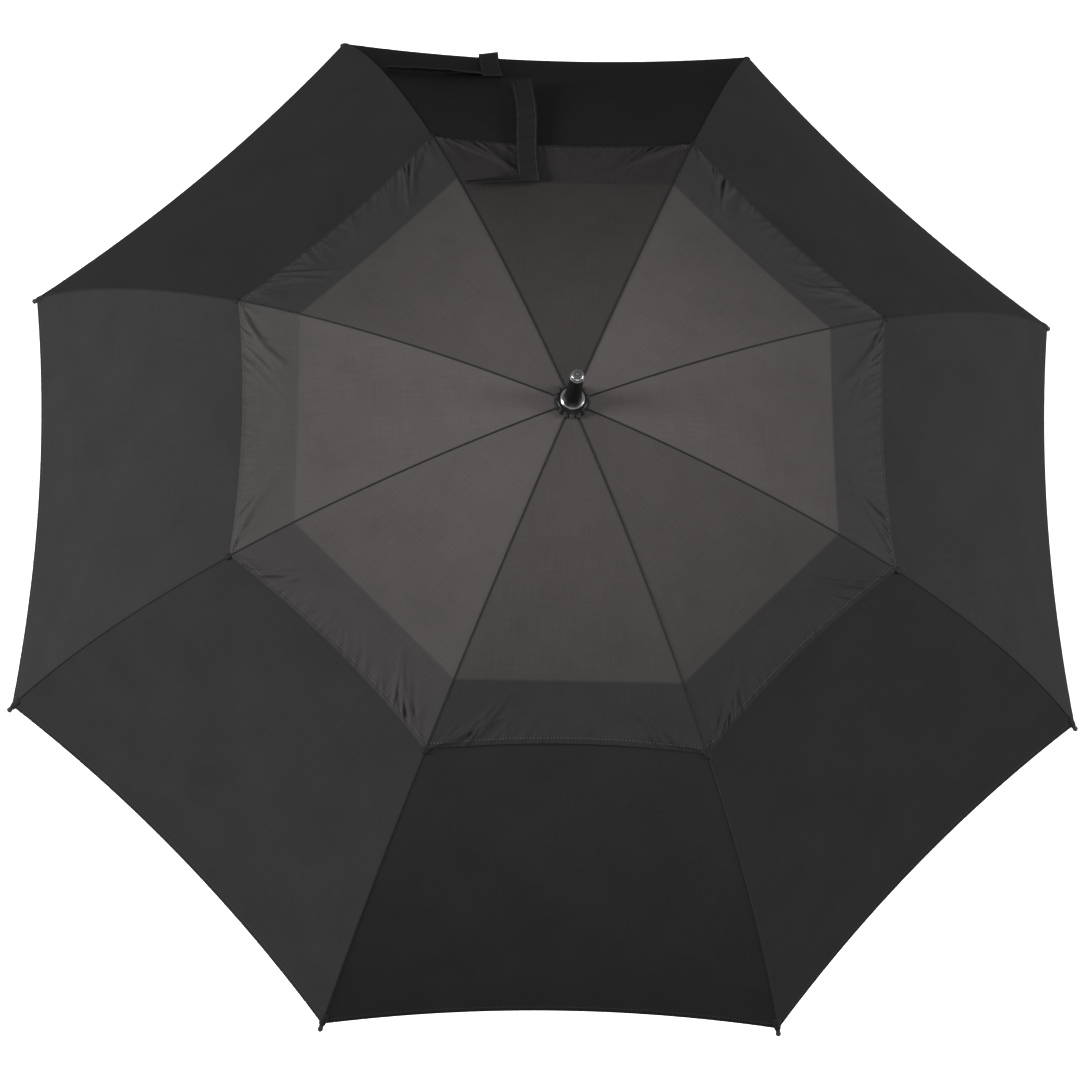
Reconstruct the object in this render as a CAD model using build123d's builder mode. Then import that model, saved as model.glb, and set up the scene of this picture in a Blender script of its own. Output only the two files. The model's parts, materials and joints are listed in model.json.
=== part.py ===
"""Vented golf umbrella, open: eight curved ribs on a straight shaft, a manual runner, and a canopy
in two layers.  Millimetres.  +Z runs up the shaft and the origin is the centre of the handle's foot.
A rib is drawn once, in the XZ plane, and copied round the shaft."""
from build123d import *
from math import atan2, cos, degrees, hypot, radians, sin, sqrt, tan
import os

os.makedirs("parts", exist_ok=True)

# ---- driving dimensions ---------------------------------------------------------------------
rib_count = 8
inner_length = 318.0            # rib axis, notch pivot to joint clip
outer_length = 440.0            # rib axis, joint clip to the end of the tip cap
slope_at_notch = 1.5            # fall of the rib below the horizontal, in degrees
slope_at_clip = 20.5
slope_at_tip = 56.5
rib_diameter = 3.6              # glass-fibre rod
stretcher_diameter = 3.4

shaft_diameter = 14.0
shaft_wall = 1.0
shaft_foot = 20.0               # where the tube starts inside the grip
shaft_in_ferrule = 42.0         # how far the tube goes up into the ferrule
grip_diameter = 32.0
grip_top = 158.0
cap_height = 10.0
closed_room = 159.1             # top of the grip to the runner's pivots when the umbrella is closed
closed_angle = 0.8              # between a closed rib and the shaft, in degrees
ferrule_base_wall = 2.8         # ferrule beyond the shaft, at its foot and at its top
ferrule_top_wall = 0.8
ferrule_length = 72.0
collar_wall = 3.2               # bright collar beyond the ferrule
collar_height = 7.0
rosette_diameter = 40.0
rosette_height = 6.5

vent_radius = 387.0             # corner of the upper canopy's free edge
overlap_radius = 314.0          # inner edge of the lower canopy
hem_setback = 15.0              # tip cap showing beyond the hem, along the rib
vent_hollow = 9.0               # how far the free edge curves in between two ribs
hem_hollow = 17.0
fabric_thickness = 0.7
strap_width = 24.0
strap_thickness = 1.2

tongue_thickness = 2.6          # eyes of the ribs and stretchers
eye_wall = 1.0                  # round the pin
pin_radius = 0.9
cheek_thickness = 1.4
pin_setback = 9.0               # stretcher's pin behind the joint clip and under the rib's axis
pin_drop = 7.5
sleeve_wall = 1.6               # notch sleeve on the shaft
eye_room = 1.0                  # sleeve to the eyes
runner_travel_gap = 0.3         # runner to stop pin, and window to catch

# ---- clearances -----------------------------------------------------------------------------
pin_clearance = 0.05            # radial, eye on pin
slot_clearance = 0.2            # each side of an eye in its slot
seat_clearance = 0.05           # one fixed piece in another
slide_clearance = 0.1           # runner on shaft, radial
layer_gap = 0.4                 # rod to fabric and fabric to fabric

# ---- sizes that follow ----------------------------------------------------------------------
rib_r = rib_diameter / 2
stretcher_r = stretcher_diameter / 2
shaft_r = shaft_diameter / 2
bore_r = shaft_r - shaft_wall
seat_r = shaft_r + seat_clearance
sleeve_radius = shaft_r + sleeve_wall
tongue_radius = pin_radius + eye_wall
pivot_radius = sleeve_radius + eye_room + tongue_radius     # circle of the notch's and runner's pivots
slot_width = tongue_thickness + 2 * slot_clearance
clip_width = slot_width + 2 * cheek_thickness
half_gore = 180 / rib_count
gore = 2 * half_gore
inner_bend = inner_length / radians(slope_at_clip - slope_at_notch)
outer_bend = outer_length / radians(slope_at_tip - slope_at_clip)

# The stretcher's pin hangs under the rib.  Equal lengths from pin to notch and from pin to runner
# keep the runner square on the shaft at every angle, and the closed umbrella sets the shaft's length.
fall = radians(slope_at_clip)
clip_out = inner_bend * (sin(fall) - sin(radians(slope_at_notch)))
clip_down = inner_bend * (cos(radians(slope_at_notch)) - cos(fall))
pin_out = clip_out - pin_setback * cos(fall) - pin_drop * sin(fall)
pin_down = clip_down - pin_setback * sin(fall) + pin_drop * cos(fall)
arm = hypot(pin_out, pin_down)
runner_low = grip_top + closed_room
pivot_height = runner_low + 2 * arm * cos(radians(closed_angle))
runner_height = pivot_height - 2 * pin_down
stretcher_pin = (pivot_radius + pin_out, pivot_height - pin_down)
fold_angle = degrees(atan2(pin_out, pin_down)) - closed_angle


def inner_point(s, lift=0.0):
    """Point (r, z) at length s along the inner rib's axis, lifted along its normal."""
    a = radians(slope_at_notch) + s / inner_bend
    r = pivot_radius + inner_bend * (sin(a) - sin(radians(slope_at_notch)))
    z = pivot_height - inner_bend * (cos(radians(slope_at_notch)) - cos(a))
    return (r + lift * sin(a), z + lift * cos(a))


knee = inner_point(inner_length)


def outer_point(s, lift=0.0):
    """Point (r, z) at length s beyond the joint clip, lifted along the rib's normal."""
    a = radians(slope_at_clip) + s / outer_bend
    r = knee[0] + outer_bend * (sin(a) - sin(radians(slope_at_clip)))
    z = knee[1] - outer_bend * (cos(radians(slope_at_clip)) - cos(a))
    return (r + lift * sin(a), z + lift * cos(a))


def rib_point(s, lift=0.0):
    """Point (r, z) at length s from the notch pivot, on either half of the rib."""
    return inner_point(s, lift) if s < inner_length else outer_point(s - inner_length, lift)


def length_at(radius):
    """Length along the rib axis at which it reaches a radius."""
    if radius < knee[0]:
        turn = (radius - pivot_radius) / inner_bend + sin(radians(slope_at_notch))
        return inner_bend * (atan2(turn, sqrt(1 - turn**2)) - radians(slope_at_notch))
    turn = (radius - knee[0]) / outer_bend + sin(radians(slope_at_clip))
    return inner_length + outer_bend * (atan2(turn, sqrt(1 - turn**2)) - radians(slope_at_clip))


print("notch pivots", (pivot_radius, pivot_height), "joint clip", knee, "stretcher pin", stretcher_pin)
print("runner pivots", runner_height, "to", runner_low, "fold", fold_angle)


def write(piece, label):
    """Label a finished piece and write its STEP file."""
    piece.part.label = label
    export_step(piece.part, f"parts/{label}.step")


def write_round(piece, label):
    """Write a rib-plane piece once for every rib."""
    for k in range(rib_count):
        with BuildPart() as copy:
            add(piece.part.rotate(Axis.Z, gore * k))
        write(copy, f"{label}_{k + 1}")


def rib_frame(point, slope):
    """Plane in the rib's plane at a point: x outwards along a downward slope, y to the upper side."""
    down = radians(slope)
    return Plane((point[0], 0, point[1]), x_dir=(cos(down), 0, -sin(down)), z_dir=(0, -1, 0))


# ---- rods, eyes and clips of one rib --------------------------------------------------------
eye_bar = 14.0                  # pin to the end of the eye's socket bottom
socket_start = 9.0
socket_end = 21.0
socket_wall = 0.9
socket_chamfer = 0.2
plate_corner = hypot(tongue_thickness / 2, tongue_radius)
rod_start = 11.0


def arc_rod(point, start, end, radius):
    """Round rod along the rib between two lengths."""
    with BuildPart() as rod:
        with BuildLine(Plane.XZ) as path:
            ThreePointArc(point(start), point((start + end) / 2), point(end))
        with BuildSketch(Plane(path.line @ 0, z_dir=path.line % 0)):
            Circle(radius)
        sweep(path=path.line)
    return rod.part


def eye(place, rod_radius):
    """Moulded end: a flat eye for the pin and a round socket for the rod."""
    with BuildPart() as fitting:
        with BuildSketch(place):
            Circle(tongue_radius)
            Rectangle(eye_bar, 2 * tongue_radius, align=(Align.MIN, Align.CENTER))
            Circle(pin_radius + pin_clearance, mode=Mode.SUBTRACT)
        extrude(amount=tongue_thickness / 2, both=True)
        mouth = Plane(place.origin, z_dir=place.x_dir).offset(socket_start)
        with BuildSketch(mouth):
            Circle(max(rod_radius + socket_wall, plate_corner + socket_chamfer + 0.05))
        extrude(amount=socket_end - socket_start)
        chamfer(fitting.edges().filter_by(GeomType.CIRCLE).sort_by(SortBy.RADIUS)[-2:], socket_chamfer)
    return fitting.part


def fit_rod(fitting, bore):
    """Fitting with a seat for its rod."""
    with BuildPart() as bored:
        add(fitting)
        add(bore, mode=Mode.SUBTRACT)
    return bored.part


notch_frame = rib_frame((pivot_radius, pivot_height), slope_at_notch)
knee_frame = rib_frame(knee, slope_at_clip)
clip_block = 18.0               # clip length behind the knee
block_half = rib_r + 0.8
clip_ear = block_half + 0.2

with BuildPart() as clip:
    with BuildSketch(knee_frame):
        with BuildLine():
            Polyline(
                (-clip_block, block_half), (0, clip_ear), (clip_ear, 0), (0, -clip_ear),
                (-pin_setback + clip_ear, -pin_drop), (-pin_setback, -pin_drop - clip_ear),
                (-pin_setback - clip_ear, -pin_drop), (-clip_block, -block_half), close=True,
            )
        make_face()
        Circle(clip_ear)
        with Locations((-pin_setback, -pin_drop)):
            Circle(clip_ear)
    extrude(amount=clip_width / 2, both=True)
    with BuildSketch(knee_frame):
        with Locations((-tongue_radius - 0.6, 0)):
            Rectangle(20, 4 * clip_ear, align=(Align.MIN, Align.CENTER))
        with Locations((0, -pin_drop + tongue_radius + 1.0)):
            Rectangle(60, 20, align=(Align.CENTER, Align.MAX))
    extrude(amount=slot_width / 2, both=True, mode=Mode.SUBTRACT)
    with BuildSketch(knee_frame):
        Circle(pin_radius)
        with Locations((-pin_setback, -pin_drop)):
            Circle(pin_radius)
    extrude(amount=slot_width / 2 + 0.5, both=True)

rod_end = inner_length - 4.0
bore_radius = rib_r + seat_clearance
inner_rod = arc_rod(inner_point, rod_start, rod_end, rib_r)
inner_bore = arc_rod(inner_point, rod_start - 0.2, rod_end + 0.2, bore_radius)
with BuildPart() as rib_inner:
    add(inner_rod)
    add(fit_rod(eye(notch_frame, rib_r), inner_bore))
    add(fit_rod(clip.part, inner_bore))
write_round(rib_inner, "rib_inner")

cap_length = 24.0
cap_radius = rib_r + socket_wall
ball_radius = cap_radius + 0.4
rod_in_cap = 12.0
tip = outer_point(outer_length)
tip_frame = rib_frame(tip, slope_at_tip)
with BuildPart() as tip_cap:
    with BuildSketch(tip_frame):
        with BuildLine():
            Polyline(
                (-cap_length, 0), (-cap_length, cap_radius), (-ball_radius, cap_radius),
                (-ball_radius, 0), close=True,
            )
        make_face()
        with Locations((-ball_radius, 0)):
            Circle(ball_radius)
        Rectangle(4 * cap_length, 4 * cap_length, align=(Align.CENTER, Align.MAX), mode=Mode.SUBTRACT)
    revolve(axis=Axis(tip_frame.origin, tip_frame.x_dir))

outer_rod = arc_rod(outer_point, rod_start, outer_length - rod_in_cap, rib_r)
outer_bore = arc_rod(outer_point, rod_start - 0.2, outer_length - rod_in_cap + 0.2, bore_radius)
with BuildPart() as rib_outer:
    add(outer_rod)
    add(fit_rod(eye(knee_frame, rib_r), outer_bore))
    add(fit_rod(tip_cap.part, outer_bore))
write_round(rib_outer, "rib_outer")

# ---- stretcher: a straight rod with an eye at each end ---------------------------------------
rise = degrees(atan2(stretcher_pin[1] - runner_height, stretcher_pin[0] - pivot_radius))
low_frame = rib_frame((pivot_radius, runner_height), -rise)
high_frame = rib_frame(stretcher_pin, 180 - rise)
with BuildPart() as stretcher_rod:
    with BuildSketch(Plane(low_frame.origin, z_dir=low_frame.x_dir).offset(rod_start)):
        Circle(stretcher_r)
    extrude(amount=arm - 2 * rod_start)
with BuildPart() as stretcher_bore:
    with BuildSketch(Plane(low_frame.origin, z_dir=low_frame.x_dir).offset(rod_start - 0.2)):
        Circle(stretcher_r + seat_clearance)
    extrude(amount=arm - 2 * rod_start + 0.4)
with BuildPart() as stretcher:
    add(stretcher_rod.part)
    add(fit_rod(eye(low_frame, stretcher_r), stretcher_bore.part))
    add(fit_rod(eye(high_frame, stretcher_r), stretcher_bore.part))
write_round(stretcher, "stretcher")

# ---- canopy ---------------------------------------------------------------------------------
# Between two ribs the cloth is a single curve pulled straight across, so a half gore is the rib's
# own curve drawn in the plane half way to the next rib and extruded square to it.
rod_to_lower = rib_r + socket_wall + 2 * layer_gap
rod_to_upper = rod_to_lower + fabric_thickness + layer_gap
side_gap = 0.15
curve_steps = 8


def gore_plane(side):
    """Plane half way to the next rib, x outwards and y up; its normal faces rib 1."""
    turn = radians(half_gore) * side
    return Plane((0, 0, 0), x_dir=(cos(turn), sin(turn), 0), z_dir=(sin(turn), -cos(turn), 0))


def plan_outline(radius, hollow):
    """Plan of one gore from the shaft out to a free edge that curves in between the ribs."""
    turn, half = radians(gore), radians(half_gore)
    middle = radius * cos(half) - hollow
    corner = (radius * cos(turn), radius * sin(turn))
    with BuildSketch(Plane.XY) as plan:
        with BuildLine():
            Line((0, 0), (radius, 0))
            ThreePointArc((radius, 0), (middle * cos(half), middle * sin(half)), corner)
            Line(corner, (0, 0))
        make_face()
    return plan.sketch


def curve_points(start, end, lift):
    """The rib's curve between two lengths, foreshortened into the half-gore plane."""
    step = (end - start) / curve_steps
    points = [rib_point(start + i * step, lift) for i in range(curve_steps + 1)]
    return [(r * cos(radians(half_gore)), z) for r, z in points]


def sheet_profile(plane, start, end, lift, thickness):
    """Thin closed strip that follows the rib's curve."""
    below = curve_points(start, end, lift)
    above = curve_points(start, end, lift + thickness)
    with BuildSketch(plane) as profile:
        with BuildLine():
            Spline(*below)
            Spline(*above)
            Line(below[0], above[0])
            Line(below[-1], above[-1])
        make_face()
    return profile.sketch


def half_gore_sheet(start, end, lift, edge_radius, hollow):
    """One half gore of canopy cloth, from the half-gore plane to rib 1."""
    with BuildPart() as cloth:
        strip = sheet_profile(gore_plane(1).offset(side_gap), start, end, lift, fabric_thickness)
        extrude(strip, amount=edge_radius)
        extrude(plan_outline(edge_radius, hollow), amount=2 * pivot_height, mode=Mode.INTERSECT)
    return cloth.part


def sector(half):
    """Two mirrored half gores joined along their rib."""
    with BuildPart() as both:
        add(half)
        mirror(about=Plane.XZ)
    return both


hem_length = inner_length + outer_length - hem_setback
hem_radius = rib_point(hem_length, rod_to_lower)[0]
past_edge = 6.0                 # the curve runs a little past the edge that trims it
neck_radius = 9.0
upper_half = half_gore_sheet(
    length_at(neck_radius / cos(radians(half_gore))), length_at(vent_radius) + past_edge,
    rod_to_upper, vent_radius, vent_hollow,
)
lower_half = half_gore_sheet(
    length_at(overlap_radius), hem_length + 1.0, rod_to_lower, hem_radius, hem_hollow,
)
write_round(sector(upper_half), "upper_canopy")
write_round(sector(lower_half), "lower_canopy")
print("hem corner radius", hem_radius, "tip", tip)

# ---- tie straps, sewn to the seam of rib 4 on the gore towards rib 3 --------------------------
# Each strap lies straight across its gore from the seam, then drops down the slope.  The first leg
# lies inside the free edge that the strap ties, and the second ends beyond that edge.
strap_rib = 3                   # copies of rib 1 to step round to rib 4
strap_seam_gap = 6.0
patch_thickness = 1.0
rod_to_tie = rod_to_lower + fabric_thickness + layer_gap
rod_to_vent_strap = rod_to_upper + fabric_thickness + layer_gap


def strap_sheet(plan, lift, thickness):
    """Cloth of a plan outline lying on the gore on the -Y side of rib 1, moved round to its rib."""
    half = cos(radians(half_gore))
    box = plan.bounding_box()
    margin = fabric_thickness + thickness
    with BuildPart() as cloth:
        strip = sheet_profile(
            gore_plane(-1), length_at((box.min.X - margin) / half), length_at((box.max.X + margin) / half),
            lift, thickness,
        )
        extrude(strip, amount=-box.max.X)
        extrude(plan.rotate(Axis.Z, -half_gore), amount=2 * pivot_height, mode=Mode.INTERSECT)
    with BuildPart() as placed:
        add(cloth.part.rotate(Axis.Z, gore * strap_rib))
    return placed


def strap(edge, inside, beyond, down, lift, patch_length):
    """Strap and its fastener patch on the free edge of a gore; down is the second leg's distance from
    the middle of the gore."""
    across, reach = edge - inside, edge + beyond
    seam = across * tan(radians(half_gore)) - strap_seam_gap
    with BuildSketch() as legs:
        with Locations((across, seam)):
            Rectangle(strap_width, seam - down + strap_width / 2, align=(Align.CENTER, Align.MAX))
        with Locations((reach, down)):
            Rectangle(reach - across + strap_width / 2, strap_width, align=(Align.MAX, Align.CENTER))
    with BuildSketch() as patch:
        with Locations((reach, down)):
            Rectangle(patch_length, strap_width - 2, align=(Align.MAX, Align.CENTER))
    patch_lift = lift + strap_thickness + seat_clearance
    return (
        strap_sheet(legs.sketch, lift, strap_thickness),
        strap_sheet(patch.sketch, patch_lift, patch_thickness),
    )


hem_middle = hem_radius * cos(radians(half_gore)) - hem_hollow
vent_middle = vent_radius * cos(radians(half_gore)) - vent_hollow
tie_strap, tie_strap_patch = strap(
    edge=hem_middle, inside=91.5, beyond=5.5, down=74.0, lift=rod_to_tie, patch_length=26.0
)
write(tie_strap, "tie_strap")
write(tie_strap_patch, "tie_strap_patch")
vent_strap, vent_strap_patch = strap(
    edge=vent_middle, inside=65.5, beyond=129.5, down=41.0, lift=rod_to_vent_strap, patch_length=10.0
)
write(vent_strap, "vent_strap")
write(vent_strap_patch, "vent_strap_patch")

# ---- notch and runner: slotted crowns with a pivot wire --------------------------------------
crown_radius = pivot_radius + 3.5
slot_depth_radius = pivot_radius - tongue_radius - 0.4
crown_floor = 3.0               # crown beyond the pins on the open side
crown_roof = 2.9                # crown over the pins on the closed side
slot_roof = tongue_radius + 0.2
notch_sleeve = 17.0
notch_pin_height = pivot_height - notch_sleeve / 2 - crown_floor
wire_corner = pivot_radius / cos(radians(half_gore))
groove = (pin_radius + seat_clearance) / cos(radians(half_gore))


def crown(height, up):
    """Slotted crown on the shaft; its slots open outwards and towards the rods' folded side."""
    with BuildPart() as body:
        with BuildSketch(Plane.XY.offset(height - up * crown_floor)):
            Circle(crown_radius)
            Circle(shaft_r + slide_clearance, mode=Mode.SUBTRACT)
        extrude(amount=up * (crown_floor + crown_roof))
        chamfer(body.edges().filter_by(GeomType.CIRCLE).sort_by(SortBy.RADIUS)[-2:], 0.5)
        with BuildSketch(Plane.XY.offset(height + up * slot_roof)):
            with PolarLocations(slot_depth_radius, rib_count):
                Rectangle(2 * crown_radius, slot_width, align=(Align.MIN, Align.CENTER))
        extrude(amount=-up * 4 * crown_floor, mode=Mode.SUBTRACT)
        with BuildSketch(Plane.XY.offset(height)):
            RegularPolygon(wire_corner + groove, rib_count, rotation=half_gore)
            RegularPolygon(wire_corner - groove, rib_count, rotation=half_gore, mode=Mode.SUBTRACT)
        extrude(amount=pin_radius + seat_clearance, both=True, mode=Mode.SUBTRACT)
    return body.part


def pivot_wire(height):
    """Wire bent round the crown, straight through every eye."""
    turns = [radians(gore * k + half_gore) for k in range(rib_count)]
    corners = [Vector(wire_corner * cos(t), wire_corner * sin(t), height) for t in turns]
    start = (corners[0] + corners[-1]) / 2
    with BuildPart() as wire:
        with BuildLine() as loop:
            Polyline(start, *corners, start)
        with BuildSketch(Plane(start, z_dir=corners[0] - start)):
            Circle(pin_radius)
        sweep(path=loop.wire(), transition=Transition.RIGHT)
    return wire


with BuildPart() as top_notch:
    add(crown(pivot_height, 1))
    with BuildSketch(Plane.XY.offset(pivot_height + slot_roof)):
        Circle(sleeve_radius)
    extrude(amount=-slot_roof - notch_sleeve)
    with BuildSketch(Plane.XY.offset(pivot_height + 2 * crown_roof)):
        Circle(seat_r)
    extrude(amount=-3 * notch_sleeve, mode=Mode.SUBTRACT)
    with BuildSketch(Plane.YZ):
        with Locations((0, notch_pin_height)):
            Circle(pin_radius + seat_clearance)
    extrude(amount=3 * sleeve_radius, both=True, mode=Mode.SUBTRACT)
write(top_notch, "top_notch")
write(pivot_wire(pivot_height), "notch_wire")

runner_sleeve_radius = shaft_r + 3.0
runner_sleeve = 58.0
runner_flange_radius = runner_sleeve_radius + 3.5
runner_flange = 8.0
window_top = 24.0               # below the runner's pivots
window_height = 17.0
window_width = 5.6
with BuildPart() as runner:
    add(crown(runner_height, -1))
    with BuildSketch(Plane.XY.offset(runner_height - slot_roof)):
        Circle(runner_sleeve_radius)
    extrude(amount=-(runner_sleeve - slot_roof))
    with BuildSketch(Plane.XY.offset(runner_height - runner_sleeve)):
        Circle(runner_flange_radius)
    extrude(amount=runner_flange)
    chamfer(runner.edges().filter_by(GeomType.CIRCLE).filter_by(
        lambda e: abs(e.radius - runner_flange_radius) < 0.01), 1.0)
    with BuildSketch(Plane.XY.offset(runner_height + 4 * crown_floor)):
        Circle(shaft_r + slide_clearance)
    extrude(amount=-2 * runner_sleeve, mode=Mode.SUBTRACT)
    with BuildSketch(Plane.YZ.offset(shaft_r / 2)):
        with Locations((0, runner_height - window_top)):
            Rectangle(window_width, window_height, align=(Align.CENTER, Align.MAX))
    extrude(amount=2 * runner_sleeve_radius, mode=Mode.SUBTRACT)
write(runner, "runner")
write(pivot_wire(runner_height), "runner_wire")

# ---- spring catches in slots of the shaft ----------------------------------------------------
catch_width = 3.6
catch_reach = 3.6               # nose beyond the shaft
catch_nose = 11.0
catch_leaf = 46.0
leaf_thickness = 0.8
slot_slack = 0.4
leaf_r = bore_r - 0.5
top_catch_height = runner_height - window_top - runner_travel_gap     # flat face, holds the runner up
low_catch_height = runner_low - window_top - window_height + runner_travel_gap


def catch(flat, up):
    """Bent spring strip: a flat shoulder at one end of the nose, a ramp at the other."""
    with BuildPart() as spring:
        with BuildSketch(Plane.XZ):
            with BuildLine():
                Polyline(
                    (leaf_r, flat), (shaft_r + catch_reach, flat),
                    (shaft_r + catch_reach, flat - up * catch_nose * 0.25),
                    (shaft_r, flat - up * catch_nose), (leaf_r, flat - up * catch_nose),
                    (leaf_r, flat - up * catch_leaf), (leaf_r - leaf_thickness, flat - up * catch_leaf),
                    (leaf_r - leaf_thickness, flat), close=True,
                )
            make_face()
        extrude(amount=catch_width / 2, both=True)
    return spring


write(catch(top_catch_height, 1), "top_catch")
write(catch(low_catch_height, -1), "bottom_catch")

# ---- shaft and its pins ---------------------------------------------------------------------
shaft_top = pivot_height + crown_roof + shaft_in_ferrule
stop_height = runner_height + crown_floor + runner_travel_gap + pin_radius
stop_reach = 1.8
with BuildPart() as shaft:
    with BuildSketch(Plane.XY.offset(shaft_foot)):
        Circle(shaft_r)
        Circle(bore_r, mode=Mode.SUBTRACT)
    extrude(amount=shaft_top - shaft_foot)
    with BuildSketch(Plane.YZ):
        with Locations((0, top_catch_height - catch_nose / 2), (0, low_catch_height + catch_nose / 2)):
            SlotOverall(catch_nose + 2 * catch_width, catch_width + 2 * slot_slack, rotation=90)
    extrude(amount=2 * shaft_r, mode=Mode.SUBTRACT)
    with BuildSketch(Plane.YZ):
        with Locations((0, stop_height), (0, notch_pin_height)):
            Circle(pin_radius + seat_clearance)
    extrude(amount=2 * shaft_r, both=True, mode=Mode.SUBTRACT)
write(shaft, "shaft")

with BuildPart() as stop_pin:
    with BuildSketch(Plane.YZ):
        with Locations((0, stop_height)):
            Circle(pin_radius)
    extrude(amount=shaft_r + stop_reach, both=True)
write(stop_pin, "stop_pin")

with BuildPart() as notch_pin:
    with BuildSketch(Plane.YZ):
        with Locations((0, notch_pin_height)):
            Circle(pin_radius)
    extrude(amount=sleeve_radius, both=True)
write(notch_pin, "notch_pin")

# ---- washer, rosette, collar and ferrule over the canopy's neck -------------------------------
washer_thickness = 0.3
washer_radius = crown_radius - 0.5
with BuildPart() as neck_washer:
    with BuildSketch(Plane.XY.offset(pivot_height + crown_roof + seat_clearance)):
        Circle(washer_radius)
        Circle(seat_r, mode=Mode.SUBTRACT)
    extrude(amount=washer_thickness)
write(neck_washer, "neck_washer")

rosette_foot = pivot_height + rod_to_upper + fabric_thickness + layer_gap
rosette_r = rosette_diameter / 2
flute_count = 16
rosette_rim = 1.6
ferrule_base_r = shaft_r + ferrule_base_wall
ferrule_top_r = shaft_r + ferrule_top_wall
collar_r = ferrule_base_r + collar_wall
with BuildPart() as rosette:
    with BuildSketch(Plane.XZ):
        with BuildLine():
            base = Line((seat_r, rosette_foot), (rosette_r, rosette_foot))
            rim = Line(base @ 1, (rosette_r, rosette_foot + rosette_rim))
            dome = ThreePointArc(
                rim @ 1, (rosette_r * 0.72, rosette_foot + rosette_height * 0.72),
                (collar_r - 1, rosette_foot + rosette_height),
            )
            brim = Line(dome @ 1, (seat_r, rosette_foot + rosette_height))
            Line(brim @ 1, base @ 0)
        make_face()
    revolve(axis=Axis.Z)
    with BuildSketch(Plane.XY.offset(rosette_foot)):
        with PolarLocations(rosette_r + 1.0, flute_count):
            Circle(1.9)
    extrude(amount=rosette_height, mode=Mode.SUBTRACT)
write(rosette, "rosette")

ferrule_foot = rosette_foot + rosette_height + seat_clearance
with BuildPart() as ferrule_collar:
    with BuildSketch(Plane.XY.offset(ferrule_foot)):
        Circle(collar_r)
        Circle(ferrule_base_r + seat_clearance, mode=Mode.SUBTRACT)
    extrude(amount=collar_height)
    chamfer(ferrule_collar.edges().filter_by(GeomType.CIRCLE).sort_by(SortBy.RADIUS)[-2:], 1.2)
write(ferrule_collar, "ferrule_collar")

ferrule_tip = ferrule_foot + ferrule_length
bead_half = 1.3
bead_bulge = 1.0
bead_below_nose = 2.7
bead_height = ferrule_tip - ferrule_top_r - bead_below_nose
with BuildPart() as ferrule:
    with BuildSketch(Plane.XZ):
        with BuildLine():
            foot = Line((0, ferrule_foot), (ferrule_base_r, ferrule_foot))
            skirt = Line(foot @ 1, (ferrule_base_r, ferrule_foot + collar_height))
            taper = Line(skirt @ 1, (ferrule_top_r, bead_height - bead_half))
            bead = ThreePointArc(
                taper @ 1, (ferrule_top_r + bead_bulge, bead_height), (ferrule_top_r, bead_height + bead_half)
            )
            land = Line(bead @ 1, (ferrule_top_r, ferrule_tip - ferrule_top_r))
            nose = CenterArc((0, ferrule_tip - ferrule_top_r), ferrule_top_r, 0, 90)
            Line(nose @ 1, foot @ 0)
        make_face()
    revolve(axis=Axis.Z)
    with BuildSketch(Plane.XY.offset(ferrule_foot)):
        Circle(seat_r)
    extrude(amount=shaft_top - ferrule_foot + seat_clearance, mode=Mode.SUBTRACT)
write(ferrule, "ferrule")

# ---- grip and end cap -----------------------------------------------------------------------
grip_r = grip_diameter / 2
plug_radius = 9.0
plug_length = 8.0
with BuildPart() as grip:
    with BuildSketch(Plane.XY.offset(cap_height)):
        Circle(grip_r)
    extrude(amount=grip_top - cap_height)
    fillet(grip.edges().filter_by(GeomType.CIRCLE).sort_by(Axis.Z)[-1:], 5.0)
    with BuildSketch(Plane.XY.offset(shaft_foot - seat_clearance)):
        Circle(seat_r)
    extrude(amount=grip_top, mode=Mode.SUBTRACT)
    with BuildSketch(Plane.XY.offset(cap_height)):
        Circle(plug_radius + seat_clearance)
    extrude(amount=plug_length + seat_clearance, mode=Mode.SUBTRACT)
write(grip, "grip")

with BuildPart() as end_cap:
    with BuildSketch(Plane.XY):
        Circle(grip_r)
    extrude(amount=cap_height - seat_clearance)
    fillet(end_cap.edges().filter_by(GeomType.CIRCLE).sort_by(Axis.Z)[:1], 4.0)
    with BuildSketch(Plane.XY.offset(cap_height - 1.0)):
        Circle(plug_radius)
    extrude(amount=plug_length + 1.0)
write(end_cap, "end_cap")
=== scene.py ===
# %% [markdown]
# # A golf umbrella with a vented canopy
# The umbrella is one curved cloth held by eight ribs, so the lesson goes from the frame outwards: first the
# numbers of the rib's curve, then the finishes, then the cloth, its seams and straps, and last the spike and
# the handle.  The moving frame is loaded ready made, and every new piece rides on one of its bodies.

# %% Load the frame
import json
import math
import bpy
import numpy as np
from mathutils import Matrix, Vector


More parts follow.
